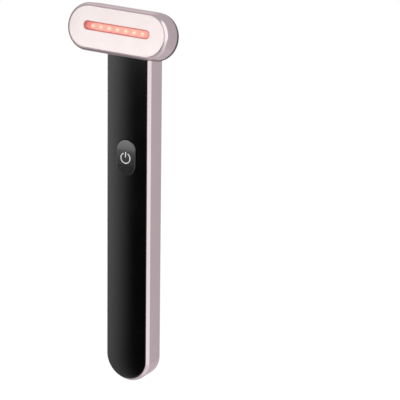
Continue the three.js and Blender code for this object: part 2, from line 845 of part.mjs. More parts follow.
const headRadius = headHeight / 2;
const headCore = headWidth / 2 - headRadius;
const rimInner = headRadius - rimWidth;
const headInner = headRadius - headWall;
const faceBack = -headDepth + faceThickness;
const faceLedge = faceBack + seatGap;
const faceLedgeBack = faceLedge + faceLedgeThickness;
const housingBack = -coverLip - seatGap;
const slotLength = headWidth - 2 * slotSideRoom;
const slotCore = (slotLength - slotHeight) / 2;
const windowFront = -headDepth + windowInset;
const lampTop = windowFront + windowWall + seatGap;
const trayBack = lampTop + lampHeight;
const lampBoardFront = trayBack + seatGap;
const lampBoardBack = lampBoardFront + boardThickness;
const lampPilotTop = faceLedgeBack + seatGap;
const lampPostX = headCore + headInner - lampPostInset;
const windowBack = faceBack + seatGap + windowFlangeThickness;
const trayFront = windowBack + seatGap;
const trayInner = slotHeight / 2 + trayInnerMargin;

function trayRoom() {
  const radius = trayInner + trayWall + seatGap;
  const profile = [
    [radius, faceBack],
    [radius, lampBoardFront],
  ];
  return obround(slotCore, profile).translate(0, 0, lampRise);
}

function headHousing() {
  const outside = [
    ...shallowArc([rimInner, -headDepth], [headRadius, -headDepth + rimDepth], rimBulge),
    [headRadius, housingBack],
  ];
  const inside = [
    [rimInner, -headDepth - overrun],
    [rimInner, faceLedge],
    [rimInner - faceLedgeWidth, faceLedge],
    [rimInner - faceLedgeWidth, faceLedgeBack],
    [headInner, faceLedgeBack],
    [headInner, housingBack + overrun],
  ];
  let housing = solid(obround(headCore, outside)).subtract(solid(obround(headCore, inside)));
  for (const x of [-lampPostX, lampPostX]) {
    const postFront = faceLedgeBack - faceLedgeThickness / 2;
    const post = bar(lampPostRadius, postFront, lampBoardFront - seatGap).translate(x, 0, lampRise);
    const pilot = bar(screwShankRadius + runGap, lampPilotTop, lampBoardFront).translate(x, 0, lampRise);
    const clearOfTray = solid(post).subtract(solid(trayRoom()));
    housing = housing.add(clearOfTray).subtract(solid(pilot));
  }
  return housing;
}
addPiece(head, "head_housing", headHousing(), roseMetal);

// Face plate: the satin plate that touches the skin, with the obround slot

function facePlate() {
  const radius = rimInner - faceGap;
  const outside = [
    [radius - faceEdge, -headDepth],
    [radius, -headDepth + faceEdge],
    [radius, faceBack],
  ];
  const slot = [
    [slotHeight / 2, -headDepth - overrun],
    [slotHeight / 2, faceBack + overrun],
  ];
  const opening = obround(slotCore, slot).translate(0, 0, lampRise);
  return solid(obround(headCore, outside)).subtract(solid(opening));
}
addPiece(head, "face_plate", facePlate(), satinFace);

// Lamp window: the clear red insert in the slot, held behind the face by its flange

const lamps = new THREE.Group();
lamps.position.z = lampRise;
head.add(lamps);


function lampWindow() {
  const radius = slotHeight / 2 - seatGap;
  const outside = [
    [radius, windowFront],
    [radius, faceBack + seatGap],
    [slotHeight / 2 + windowFlange, faceBack + seatGap],
    [slotHeight / 2 + windowFlange, windowBack],
  ];
  const hollow = [
    [radius - windowWall, windowFront + windowWall],
    [radius - windowWall, windowBack + overrun],
  ];
  return solid(obround(slotCore, outside)).subtract(solid(obround(slotCore, hollow)));
}
addPiece(lamps, "lamp_window", lampWindow(), windowRed);

// Warming film: a thin heater on the back of the face plate, around the window

function warmingFilm() {
  const front = faceBack + seatGap / 2;
  const outside = [
    [rimInner - faceLedgeWidth - filmGap, front],
    [rimInner - faceLedgeWidth - filmGap, front + filmThickness],
  ];
  const middle = [
    [slotHeight / 2 + windowFlange + filmGap, front - overrun],
    [slotHeight / 2 + windowFlange + filmGap, front + overrun],
  ];
  const opening = obround(slotCore, middle).translate(0, 0, lampRise);
  return solid(obround(headCore, outside)).subtract(solid(opening));
}
addPiece(head, "warming_film", warmingFilm(), amberFilm);

// Lamp tray: the white trough around the lamps, between the window and the lamp board

const trayOutside = [
  [trayInner + trayWall, trayFront],
  [trayInner + trayWall, trayBack],
];
const trayInside = [
  [trayInner, trayFront - overrun],
  [trayInner, trayBack + overrun],
];
const tray = solid(obround(slotCore, trayOutside)).subtract(solid(obround(slotCore, trayInside)));
addPiece(lamps, "lamp_tray", tray, whitePlastic);

// Lamp board, its screws and the seven lamps

function lampBoard() {
  const core = lampPostX + screwHeadRadius - lampBoardRadius;
  const outline = [
    [lampBoardRadius, lampBoardFront],
    [lampBoardRadius, lampBoardBack],
  ];
  let board = solid(obround(core, outline));
  for (const x of [-lampPostX, lampPostX]) {
    const hole = bar(screwShankRadius + runGap, lampBoardFront - overrun, lampBoardBack + overrun);
    board = board.subtract(solid(hole.translate(x, 0, 0)));
  }
  return board;
}
addPiece(lamps, "lamp_board", lampBoard(), boardWhite);
[-lampPostX, lampPostX].forEach((x, i) => {
  const length = lampBoardBack - lampPilotTop;
  const geometry = screw(0, 0, 0, length).rotateX(Math.PI).translate(x, lampBoardBack + seatGap, 0);
  addPiece(lamps, `lamp_board_screw_${i + 1}`, solid(geometry), steel);
});

function lamp() {
  const shoulder = lampHeight - lampRadius;
  const dome = quarterRound([lampRadius, shoulder], [0, lampHeight], 3);
  const profile = [
    [0, 0],
    [lampRadius + lampBase, 0],
    [lampRadius + lampBase, lampBaseHeight],
    [lampRadius, lampBaseHeight],
    ...dome,
  ];
  return turned(profile, holeFacets).rotateX(Math.PI).translate(0, trayBack, 0);
}
const lampCount = Math.round((slotLength - 2 * lampEndRoom) / lampPitch) + 1;
for (let i = 0; i < lampCount; i += 1) {
  const x = (i - (lampCount - 1) / 2) * lampPitch;
  addPiece(lamps, `lamp_${i + 1}`, solid(lamp().translate(x, 0, 0)), lampGlow);
}

// Back cover: the black lid of the head, with seats for the spindle, its screws and the stop pin

function backCover() {
  const skirtRadius = headInner - seatGap;
  const coverRadius = headRadius - coverInset;
  const outside = [
    [skirtRadius, coverFront - coverSkirt],
    [skirtRadius, -coverLip],
    [coverRadius, -coverLip],
    ...quarterRound([coverRadius, -coverEdge], [coverRadius - coverEdge, 0]),
  ];
  const inside = [
    [skirtRadius - skirtWall, coverFront - coverSkirt - overrun],
    [skirtRadius - skirtWall, coverFront],
  ];
  let cover = solid(obround(headCore, outside)).subtract(solid(obround(headCore, inside)));
  cover = cover.subtract(solid(bar(spindleRadius + seatGap, -headDepth, overrun, turnFacets)));
  const seats = flangeScrewAngles.map((angle) => {
    const hole = bar(screwShankRadius + runGap, coverFront - overrun, flangeFace + flangeScrewLength);
    return aroundAxis(hole, flangeScrewRadius, angle);
  });
  seats.push(bar(stopPinRadius + seatGap, pinRoot - seatGap, overrun).translate(0, 0, -stopRadius));
  for (const seat of seats) cover = cover.subtract(solid(seat));
  return cover;
}
addPiece(head, "head_back_cover", backCover(), mattBlack);

// Cable: one length turns with the head inside the spindle, the other lies in the handle

const leadStart = lampBoardBack + seatGap;
addPiece(head, "head_lead", solid(bar(leadRadius, leadStart, spindleEnd, leadSides * 2)), redLead);

function handleLead() {
  const side = bootRadius + seatGap + motorRibWidth + leadRadius + seatGap;
  const onBoard = boardFront - leadRadius - seatGap;
  const alongBack = innerBack - leadRadius - seatGap;
  const spindleTip = swivelHeight - spindleEnd * Math.sin(headLean) - spindleRadius;
  const route = [
    [side, onBoard, boardHigh - boardScrewInset],
    [side, onBoard, boardHigh],
    [side, motorMiddle, bootLow + bootLength / 2],
    [side, motorMiddle, motorHigh],
    [(side + leadRadius) / 2, (motorMiddle + alongBack) / 2, tabLow],
    [leadRadius, alongBack, neckLow],
    [0, alongBack, spindleTip],
  ].map((point) => new THREE.Vector3(...point));
  const section = new THREE.Shape();
  section.absarc(0, 0, leadRadius, 0, 2 * Math.PI);
  const options = {
    steps: leadSteps,
    curveSegments: leadSides / 2,
    extrudePath: new THREE.CatmullRomCurve3(route, false, "centripetal"),
  };
  return solid(new THREE.ExtrudeGeometry(section, options));
}
addPiece(handle, "handle_lead", handleLead(), redLead);

// The origin is put below the middle of the wand's depth, between the face's lower edge and the back
const frontReach = headDepth * Math.cos(headLean) + rimInner * Math.sin(headLean) - swivelInset;
wand.position.y = (frontReach - handleDepth) / 2;

export default wand;
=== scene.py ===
import json

import bmesh
import bpy
import numpy as np
from mathutils import Matrix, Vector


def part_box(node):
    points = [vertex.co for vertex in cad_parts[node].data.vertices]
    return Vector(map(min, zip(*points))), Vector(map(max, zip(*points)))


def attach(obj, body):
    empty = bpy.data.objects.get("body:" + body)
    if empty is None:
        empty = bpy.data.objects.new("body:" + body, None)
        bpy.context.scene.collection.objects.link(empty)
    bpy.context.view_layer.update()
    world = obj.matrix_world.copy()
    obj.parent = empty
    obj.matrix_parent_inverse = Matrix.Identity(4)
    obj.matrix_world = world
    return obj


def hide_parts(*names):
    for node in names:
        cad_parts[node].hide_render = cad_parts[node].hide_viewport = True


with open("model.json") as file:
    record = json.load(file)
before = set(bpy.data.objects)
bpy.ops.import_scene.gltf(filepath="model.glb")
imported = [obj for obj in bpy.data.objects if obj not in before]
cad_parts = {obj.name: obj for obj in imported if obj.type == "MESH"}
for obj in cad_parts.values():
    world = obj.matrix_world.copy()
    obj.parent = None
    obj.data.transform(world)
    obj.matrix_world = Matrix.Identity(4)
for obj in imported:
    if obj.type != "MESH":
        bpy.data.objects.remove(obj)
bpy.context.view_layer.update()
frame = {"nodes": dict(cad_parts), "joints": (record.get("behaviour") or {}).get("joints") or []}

# Handle shell
# The slim tray that the hand holds. It is die-cast and machined aluminium, bead-blasted and anodised in
# rose, with a bevelled front edge, a rounded rear edge and a slanted top that leaves room for the head.

MM = 0.001
shell_low, shell_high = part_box("handle_shell")
handle_front = shell_low.y
handle_radius = shell_high.x
handle_depth = shell_high.y - shell_low.y
handle_core = (shell_high.z - shell_low.z) / 2 - handle_radius
handle_middle = (shell_high.z + shell_low.z) / 2
wall_land = 1.25 * MM
wall_side = 1.7 * MM
wall_back = 1.2 * MM
plate_seat = 1.35 * MM
bevel_width = 1.15 * MM
bevel_depth = 1.35 * MM
bevel_round = 0.35 * MM
rear_round = 0.65 * MM
fine_round = 0.05 * MM
shell_edge = 0.08 * MM
same_point = 1e-7


def rounded(corners, steps=6):
    """Rounds a profile's corners, each given as (radius, depth, cut). The cut is the length taken off on
    both sides of a corner, to a and to b, and between these the curve is (1-s)(1-s)a + 2s(1-s)corner +
    s*s*b."""
    corners = np.array(corners, float)
    points = corners[:, :2]
    s = np.linspace(0, 1, steps + 1)[:, None]
    rows = [points[:1]]
    for before, corner, after, cut in zip(points, points[1:], points[2:], corners[1:, 2]):
        a = corner + (before - corner) / np.linalg.norm(before - corner) * cut
        b = corner + (after - corner) / np.linalg.norm(after - corner) * cut
        rows.append((1 - s) ** 2 * a + 2 * s * (1 - s) * corner + s**2 * b if cut else corner[None])
    rows.append(points[-1:])
    return np.concatenate(rows)


def obround(core, profile, upright=False, facets=40):
    """Rings of an obround, which is two half circles joined by straight sides, one ring for each (radius,
    depth) of the profile. At angle a of an end a point lies core + radius*cos(a) along and radius*sin(a)
    across, and the other end is the same turned by half a turn."""
    angle = np.linspace(-np.pi / 2, np.pi / 2, facets + 1)
    radius = profile[:, :1]
    end = core + radius * np.cos(angle)
    side = radius * np.sin(angle)
    along = np.concatenate([end, -end], axis=1)
    across = np.concatenate([side, -side], axis=1)
    depth = np.broadcast_to(profile[:, 1:2], along.shape)
    return np.stack([-across, depth, along] if upright else [along, depth, across], axis=-1)


def finish_mesh(mesh, crease=32):
    """Turns the faces outwards and shades them smooth, but for edges that bend by more than the crease."""
    work = bmesh.new()
    work.from_mesh(mesh)
    bmesh.ops.remove_doubles(work, verts=work.verts, dist=same_point)
    bmesh.ops.recalc_face_normals(work, faces=work.faces)
    work.to_mesh(mesh)
    work.free()
    mesh.polygons.foreach_set("use_smooth", np.ones(len(mesh.polygons), bool))
    mesh.set_sharp_from_angle(angle=np.radians(crease))


def skin(name, rings, closed=False):
    """A closed surface through rings of points: four-sided faces between neighbouring rings, with a flat
    face over the first and the last ring or, where closed is true, faces back to the first ring."""
    levels, count = rings.shape[:2]
    level = np.arange(levels if closed else levels - 1)[:, None]
    point = np.arange(count)
    ahead = (point + 1) % count
    above = (level + 1) % levels
    corners = [(level, point), (level, ahead), (above, ahead), (above, point)]
    faces = np.stack([ring * count + spot for ring, spot in corners], axis=-1).reshape(-1, 4).tolist()
    if not closed:
        faces.append(point.tolist())
        faces.append((point + (levels - 1) * count).tolist())
    mesh = bpy.data.meshes.new(name)
    mesh.from_pydata(rings.reshape(-1, 3).tolist(), [], faces)
    finish_mesh(mesh)
    piece = bpy.data.objects.new(name, mesh)
    bpy.context.scene.collection.objects.link(piece)
    return piece


def carve(piece, cutter):
    """Takes the cutter's closed surface out of the piece and removes the cutter."""
    cut = piece.modifiers.new("cut", "BOOLEAN")
    cut.operation = "DIFFERENCE"
    cut.solver = "EXACT"
    cut.object = cutter
    graph = bpy.context.evaluated_depsgraph_get()
    done = bpy.data.meshes.new_from_object(piece.evaluated_get(graph))
    piece.modifiers.clear()
    piece.data = done
    bpy.data.objects.remove(cutter)
    finish_mesh(piece.data)


def slice_off(piece, point, normal):
    """Cuts a piece by a plane, removes the side that the normal points to, and closes the cut."""
    work = bmesh.new()
    work.from_mesh(piece.data)
    parts = work.verts[:] + work.edges[:] + work.faces[:]
    done = bmesh.ops.bisect_plane(
        work, geom=parts, dist=same_point, plane_co=point, plane_no=normal, clear_outer=True
    )
    rim = [part for part in done["geom_cut"] if isinstance(part, bmesh.types.BMEdge)]
    bmesh.ops.triangle_fill(work, edges=rim, use_beauty=True)
    work.to_mesh(piece.data)
    work.free()
    finish_mesh(piece.data)


def soften(piece, width, crease=40):
    """Rounds the edges that bend by more than the crease, as a tumbled or moulded edge is."""
    bevel = piece.modifiers.new("edge", "BEVEL")
    bevel.limit_method = "ANGLE"
    bevel.angle_limit = np.radians(crease)
    bevel.width = width
    bevel.segments = 3
    bevel.harden_normals = True


swivel_joint = next(joint for joint in frame["joints"] if joint["name"] == "head_swivel")
swivel_point = np.array(swivel_joint["pos_m"])
swivel_axis = np.array(swivel_joint["axis"])
head_gap = 0.6 * MM
seam = 0.15 * MM


def on_handle(profile):
    """Moves a profile's depths from the handle's front plane to the wand's frame."""
    return profile + [0, handle_front]


handle_profile = rounded([
    (handle_radius - wall_side, handle_depth - wall_back, 0),
    (handle_radius - wall_side, plate_seat, 0),
    (handle_radius - wall_land, plate_seat, 0),
    (handle_radius - wall_land, 0, fine_round),
    (handle_radius - bevel_width, 0, fine_round),
    (handle_radius, bevel_depth, bevel_round),
    (handle_radius, handle_depth, rear_round),
    (handle_radius - 3 * rear_round, handle_depth, 0),
])
handle_skin = skin("handle_skin", obround(handle_core, on_handle(handle_profile), upright=True))
handle_skin.data.transform(Matrix.Translation((0, 0, handle_middle)))
slice_off(handle_skin, swivel_point + swivel_axis * head_gap, -swivel_axis)

socket_low, socket_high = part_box("charge_socket_shell")
socket_radius = (socket_high.y - socket_low.y) / 2 + seam
socket_core = (socket_high.x - socket_low.x) / 2 + seam - socket_radius
socket_depth = (socket_low.y + socket_high.y) / 2
mouth_flare = 0.25 * MM
mouth_bevel = 0.35 * MM
cutter_reach = 1 * MM
mouth_profile = np.array([
    (socket_radius + mouth_flare, -2 * cutter_reach),
    (socket_radius + mouth_flare, fine_round),
    (socket_radius, mouth_bevel),
    (socket_radius, handle_radius),
])
mouth = skin("mouth", obround(socket_core, mouth_profile))
mouth.data.transform(Matrix.Rotation(np.pi / 2, 4, "X"))
mouth.data.transform(Matrix.Translation((0, socket_depth, shell_low.z)))
carve(handle_skin, mouth)
soften(handle_skin, shell_edge)


def colour(code):
    """An sRGB hex colour as linear red, green, blue and alpha."""
    value = np.array([int(code[i : i + 2], 16) for i in (1, 3, 5)]) / 255
    linear = np.where(value <= 0.04045, value / 12.92, ((value + 0.055) / 1.055) ** 2.4)
    return (*linear.tolist(), 1.0)


def add(tree, kind, inputs=None, stops=(), **settings):
    """Adds a node with its settings. Each of its inputs is given a value or is linked to another output.
    A colour ramp also gets its stops, each a position and a shade."""
    made = tree.nodes.new(kind)
    for name, value in settings.items():
        setattr(made, name, value)
    for name, value in (inputs or {}).items():
        if isinstance(value, bpy.types.NodeSocket):
            tree.links.new(value, made.inputs[name])
        else:
            made.inputs[name].default_value = value
    while stops and len(made.color_ramp.elements) < len(stops):
        made.color_ramp.elements.new(0.5)
    for number, (position, shade) in enumerate(stops):
        made.color_ramp.elements[number].position = position
        made.color_ramp.elements[number].color = colour(shade)
    return made


def new_material(name, uniform):
    """A material with one Principled shader, whose uniform values are set on its own sockets."""
    material = bpy.data.materials.new(name)
    material.use_nodes = True
    tree = material.node_tree
    tree.nodes.clear()
    shader = add(tree, "ShaderNodeBsdfPrincipled", uniform)
    add(tree, "ShaderNodeOutputMaterial", {"Surface": shader.outputs["BSDF"]})
    return material, tree, shader


# The noise that shifts a colour mostly lies between these two values
drift_stops = (0.35, 0.65)


def grained(name, shades, grain, depth, uniform, drift=9 * MM, rough=None):
    """A material whose colour drifts between two shades over a distance, with a fine grain in its surface
    of the given size and depth. Where rough is given, the roughness drifts alike between its two values."""
    material, tree, shader = new_material(name, uniform)
    place = add(tree, "ShaderNodeTexCoord").outputs["Object"]
    slow = add(tree, "ShaderNodeTexNoise", {"Vector": place, "Scale": 1 / drift, "Detail": 3.0})
    stops = list(zip(drift_stops, shades))
    tint = add(tree, "ShaderNodeValToRGB", {"Fac": slow.outputs["Fac"]}, stops)
    tree.links.new(tint.outputs["Color"], shader.inputs["Base Color"])
    fine = add(tree, "ShaderNodeTexNoise", {"Vector": place, "Scale": 1 / grain, "Detail": 2.0})
    relief = {"Height": fine.outputs["Fac"], "Distance": depth, "Strength": 1.0}
    bump = add(tree, "ShaderNodeBump", relief)
    tree.links.new(bump.outputs["Normal"], shader.inputs["Normal"])
    if rough:
        span = {"Value": slow.outputs["Fac"], "To Min": rough[0], "To Max": rough[1]}
        spread = add(tree, "ShaderNodeMapRange", span)
        tree.links.new(spread.outputs["Result"], shader.inputs["Roughness"])
    return material


# The bright cut sets in between these shares of the normal along the front, with this roughness
bright_from, bright_to = 0.3, 0.5
bright_rough = 0.13


def rose_metal(name, front):
    """Bead-blasted, anodised aluminium whose bevel is cut bright. The cut shows where the surface faces
    the front: the roughness falls as the normal's share along the front rises between two values."""
    material = grained(
        name, ("#b0a0a5", "#b2a2a6"), grain=0.25 * MM, depth=0.0012 * MM,
        uniform={"Metallic": 1.0, "Specular Tint": colour("#e1dddf")}, rough=(0.29, 0.34),
    )
    tree = material.node_tree
    shader = next(node for node in tree.nodes if node.type == "BSDF_PRINCIPLED")
    satin = shader.inputs["Roughness"].links[0].from_socket
    normal = add(tree, "ShaderNodeTexCoord").outputs["Normal"]
    facing = add(tree, "ShaderNodeVectorMath", {0: normal, 1: front}, operation="DOT_PRODUCT")
    span = {"Value": facing.outputs["Value"], "From Min": bright_from, "From Max": bright_to}
    cut = add(tree, "ShaderNodeMapRange", span)
    blend = add(tree, "ShaderNodeMix", {"Factor": cut.outputs["Result"], "A": satin, "B": bright_rough})
    tree.links.new(blend.outputs["Result"], shader.inputs["Roughness"])
    return material


# Rose aluminium of the handle: even satin metal with a soft, broad highlight, a faint grain, and a bright,
# sharp line along the bevel. The real grain of 0.05 mm is too fine to show, so it is drawn at 0.25 mm.
rose_handle = rose_metal("rose_anodised_aluminium_handle", (0, -1, 0))


def dress(piece, material, body, node=None):
    """Gives a new piece its material, fixes it to its body, and puts it in the place of a CAD node."""
    piece.data.materials.clear()
    piece.data.materials.append(material)
    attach(piece, body)
    if node:
        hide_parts(node)


dress(handle_skin, rose_handle, "handle", "handle_shell")

# Front plate
# The glossy black cover of the handle, moulded in polycarbonate, slightly crowned from side to side and
# glued into the shell's rebate. The button comes through an obround hole.

plate_low, plate_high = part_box("front_plate")
plate_radius = plate_high.x
plate_crown = handle_front - plate_low.y
plate_thickness = plate_high.y - handle_front
plate_edge = 0.2 * MM
plate_back_edge = 0.1 * MM
plate_back_rim = 1 * MM
button_low, button_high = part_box("button_cap")
button_flange = 0.8 * MM
button_extra = 0.12 * MM
button_radius = (button_high.x - button_low.x) / 2 - button_flange + button_extra
button_core = (button_high.z - button_low.z) / 2 - button_flange - button_radius
button_middle = (button_high.z + button_low.z) / 2
hole_radius = button_radius + seam
hole_edge = 0.07 * MM

# A front's first ring lies at this share of its radius, and one small flat face closes the middle
first_ring = 0.04


def crowned(radius, edge, crown, rings):
    """Rows of (radius, depth) for a crowned front, from its first ring to its rounded edge. At distance d
    from the middle line it stands crown * (1 - (d/radius)(d/radius)) in front of its rim."""
    distance = np.linspace(first_ring, 1, rings) * (radius - edge)
    return np.stack([distance, -crown * (1 - (distance / radius) ** 2)], axis=1)


crown_rows = crowned(plate_radius, plate_edge, plate_crown, rings=14)
plate_rows = rounded([
    (*crown_rows[-1], 0),
    (plate_radius, 0, plate_edge),
    (plate_radius, plate_thickness, plate_back_edge),
    (plate_radius - plate_back_rim, plate_thickness, 0),
])
plate_profile = on_handle(np.concatenate([crown_rows, plate_rows[1:]]))
plate_skin = skin("plate_skin", obround(handle_core, plate_profile, upright=True))
plate_skin.data.transform(Matrix.Translation((0, 0, handle_middle)))
slice_off(plate_skin, (0, 0, plate_high.z), (0, 0, 1))
hole_front = plate_low.y - cutter_reach
hole_back = plate_high.y + cutter_reach
hole_profile = np.array([(hole_radius, hole_front), (hole_radius, hole_back)])
hole = skin("hole", obround(button_core, hole_profile, upright=True))
hole.data.transform(Matrix.Translation((0, 0, button_middle)))
carve(plate_skin, hole)
soften(plate_skin, hole_edge)

# Polished black polycarbonate: a deep black with a clear, slightly wavy reflection, as moulded plates have.
# The waves are 5 mm long and under a thousandth of a millimetre deep.
gloss_black = grained(
    "polished_black_polycarbonate", ("#040405", "#060607"), grain=5 * MM, depth=0.0006 * MM,
    uniform={"IOR": 1.58}, rough=(0.1, 0.14),
)
dress(plate_skin, gloss_black, "handle", "front_plate")

# Power button
# A raised obround cap, moulded in black polycarbonate. Its top is highest near the lower end and falls
# away towards the upper end, with a narrow bevel round it. Its flange lies behind the plate and keeps it
# in.

side_fall = 0.02 * MM
end_fall = 0.25 * MM
crown_drop = 5.2 * MM
button_bevel = 0.2 * MM
bevel_fall = 0.45 * MM
top_round = 0.12 * MM
side_round = 0.2 * MM
side_length = 0.6 * MM
flange_front = 1.35 * MM
flange_back = 2 * MM
flange_round = 0.1 * MM
last_ring = 1.5 * MM
top_rings = 10
button_facets = 64
crest = button_low.y
top_radius = button_radius - button_bevel
top_reach = button_core + top_radius


def top_depth(across, along):
    """How far back the button's top lies from its highest point, which is crown_drop below its middle: the
    squares of the two distances from there, as shares of the half width and the half length, times the
    fall to the side and to the end."""
    share_across = across / top_radius
    share_along = (along + crown_drop) / top_reach
    return side_fall * share_across**2 + end_fall * share_along**2


top_rows = np.stack([np.linspace(first_ring, 1, top_rings) * top_radius, np.zeros(top_rings)], axis=1)
bevel_rows = rounded([
    (*top_rows[-2], 0),
    (top_radius, 0, top_round),
    (button_radius, bevel_fall, side_round),
    (button_radius, bevel_fall + side_length, 0),
])
low_rows = rounded([
    (button_radius, flange_front, 0),
    (button_radius + button_flange, flange_front, flange_round),
    (button_radius + button_flange, flange_back, flange_round),
    (last_ring, flange_back, 0),
])
upper_rows = np.concatenate([top_rows[:-2], bevel_rows]) + [0, crest]
upper = obround(button_core, upper_rows, upright=True, facets=button_facets)
upper[..., 1] += top_depth(upper[..., 0], upper[..., 2])
lower = obround(button_core, on_handle(low_rows), upright=True, facets=button_facets)
button_skin = skin("button_skin", np.concatenate([upper, lower]))
button_skin.data.transform(Matrix.Translation((0, 0, button_middle)))

# Silk-finished black polycarbonate: a slightly broader and softer reflection than the plate's. Its texture
# is too fine to show, so it is drawn at 0.5 mm.
silk_black = grained(
    "silk_black_polycarbonate", ("#040405", "#060607"), grain=0.5 * MM, depth=0.0004 * MM,
    uniform={"IOR": 1.66}, rough=(0.155, 0.17),
)
dress(button_skin, silk_black, "button", "button_cap")

# The power symbol is a ring with a gap at its top, given in degrees to each side, and an upright bar
symbol_drop = 0.15 * MM
symbol_radius = 2.12 * MM
symbol_stroke = 0.38 * MM
symbol_gap = 33
bar_low, bar_high = 0.45 * MM, 2.45 * MM
ink_height = 0.03 * MM
ring_points, bar_points, end_points = 60, 6, 9


def printed_stroke(name, path):
    """A printed line along a path of (x, z) points, which follows the button's top. Its outline is the path
    moved half a stroke to each side along its normal, and round an end it is half a stroke times
    cos(t)*ahead + sin(t)*aside away from the path's last point, at angles t."""
    step = np.gradient(path, axis=0)
    ahead = step / np.linalg.norm(step, axis=1, keepdims=True)
    aside = np.stack([-ahead[:, 1], ahead[:, 0]], axis=1)
    half = symbol_stroke / 2
    turn = np.linspace(np.pi / 2, -np.pi / 2, end_points)[1:-1, None]
    far_end = path[-1] + half * (np.cos(turn) * ahead[-1] + np.sin(turn) * aside[-1])
    near_end = path[0] - half * (np.cos(turn) * ahead[0] + np.sin(turn) * aside[0])
    outline = np.concatenate([path + half * aside, far_end, (path - half * aside)[::-1], near_end])
    depth = crest + top_depth(outline[:, 0], outline[:, 1])
    height = np.array([-ink_height, ink_height])[:, None] + depth
    across = np.broadcast_to(outline[:, 0], height.shape)
    along = np.broadcast_to(outline[:, 1] + button_middle, height.shape)
    return skin(name, np.stack([across, height, along], axis=-1))


sweep = np.radians(np.linspace(symbol_gap, 360 - symbol_gap, ring_points))
ring_path = symbol_radius * np.stack([np.sin(sweep), np.cos(sweep)], axis=1) - [0, symbol_drop]
bar_rise = np.linspace(bar_low, bar_high, bar_points)
bar_path = np.stack([np.zeros(bar_points), bar_rise - symbol_drop], axis=1)

# Pad-printed ink: a matt pale grey film with a slightly uneven cover.
symbol_ink = grained(
    "pad_printed_ink", ("#d6d8da", "#dfe1e2"), grain=0.3 * MM, depth=0.002 * MM,
    uniform={"Roughness": 0.5}, drift=2 * MM,
)
dress(printed_stroke("power_symbol_ring", ring_path), symbol_ink, "button")
dress(printed_stroke("power_symbol_bar", bar_path), symbol_ink, "button")

# Charging socket
# A drawn steel shell with a moulded insert and a contact tongue, soldered to a small board of its own. It
# lies just inside the lower end of the handle.


def finish_nodes(material, *names):
    """Gives carried-over CAD nodes a material."""
    for name in names:
        node = frame["nodes"][name]
        node.data.materials.clear()
        node.data.materials.append(material)


# Drawn and turned steel with a thin nickel plate: bright grey metal with fine streaks.
plain_steel = grained(
    "nickel_plated_steel", ("#b4b6b8", "#c0c2c4"), grain=0.4 * MM, depth=0.002 * MM,
    uniform={"Metallic": 1.0}, rough=(0.22, 0.34),
)
# Moulded nylon with glass fibre: black, matt, with a fine spark-eroded texture of 0.3 mm.
matt_black = grained(
    "moulded_black_nylon", ("#17171a", "#1e1e21"), grain=0.3 * MM, depth=0.005 * MM,
    uniform={"Roughness": 0.36},
)
finish_nodes(plain_steel, "charge_socket_shell")
finish_nodes(matt_black, "charge_socket_insert")

# Inside the handle
# The boards with their screws, the pouch cell on its foam pad, the switch, and the vibration motor in its
# rubber boot. None of it shows on the whole wand, and each has the finish of the real piece.

# Solder mask over glass-fibre board: satin green with the weave just showing at 0.6 mm.
solder_mask = grained(
    "green_solder_mask", ("#17573a", "#1d6544"), grain=0.6 * MM, depth=0.008 * MM,
    uniform={"Roughness": 0.35, "IOR": 1.55},
)
# Laminated aluminium foil of the pouch cell: soft grey metal with shallow wrinkles of 4 mm.
pouch_foil = grained(
    "pouch_cell_foil", ("#a4a8ad", "#b0b4b8"), grain=4 * MM, depth=0.08 * MM,
    uniform={"Metallic": 0.8}, rough=(0.3, 0.42),
)
# Foam and moulded rubber: dark, dull and slightly grainy, with 0.4 mm cells.
dark_rubber = grained(
    "dark_moulded_rubber", ("#262628", "#2e2e30"), grain=0.4 * MM, depth=0.03 * MM,
    uniform={"Roughness": 0.85},
)
# Turned brass: yellow metal with fine tool marks.
turned_brass = grained(
    "turned_brass", ("#b99a4e", "#c4a65a"), grain=0.2 * MM, depth=0.003 * MM,
    uniform={"Metallic": 1.0}, rough=(0.22, 0.3),
)
# Natural acetal: white, waxy plastic that lets a little light in.
white_acetal = grained(
    "natural_acetal", ("#e6e3dc", "#ecebe6"), grain=0.5 * MM, depth=0.004 * MM,
    uniform={"Roughness": 0.4, "Subsurface Weight": 0.1, "Subsurface Scale": 1 * MM},
)
# Silicone sheath of the lead: soft, dull red.
red_silicone = grained(
    "red_silicone_sheath", ("#a03030", "#a93838"), grain=0.3 * MM, depth=0.005 * MM,
    uniform={"Roughness": 0.6},
)
finish_nodes(solder_mask, "main_board", "charge_board")
finish_nodes(pouch_foil, "battery_cell")
finish_nodes(dark_rubber, "battery_pad", "motor_boot")
finish_nodes(turned_brass, "eccentric_weight")
finish_nodes(white_acetal, "switch_plunger", "swivel_bushing")
finish_nodes(matt_black, "switch_body", "controller_chip")
finish_nodes(red_silicone, "handle_lead", "head_lead")
finish_nodes(plain_steel, "board_screw_1", "board_screw_2", "charge_board_screw")
finish_nodes(plain_steel, "motor_can", "motor_shaft")

# Neck and swivel
# The neck block closes the shell's slanted top and holds the bushing and the wave washer. The hollow
# spindle, its clip, its screws and the stop pin turn with the head.

finish_nodes(matt_black, "neck_block")
finish_nodes(plain_steel, "neck_screw_1", "neck_screw_2", "wave_washer")
finish_nodes(plain_steel, "swivel_spindle", "retaining_clip", "stop_pin")
finish_nodes(plain_steel, "spindle_screw_1", "spindle_screw_2", "spindle_screw_3")

# Head housing
# The wide obround tub of the head, in the same rose aluminium as the handle. Its front rim is cut to a
# rounded bevel and polished, and a fine groove separates the rim from the face plate.

head_lean = np.arctan2(swivel_axis[2], swivel_axis[1])
head_place = Matrix.Translation(swivel_point.tolist()) @ Matrix.Rotation(head_lean, 4, "X")


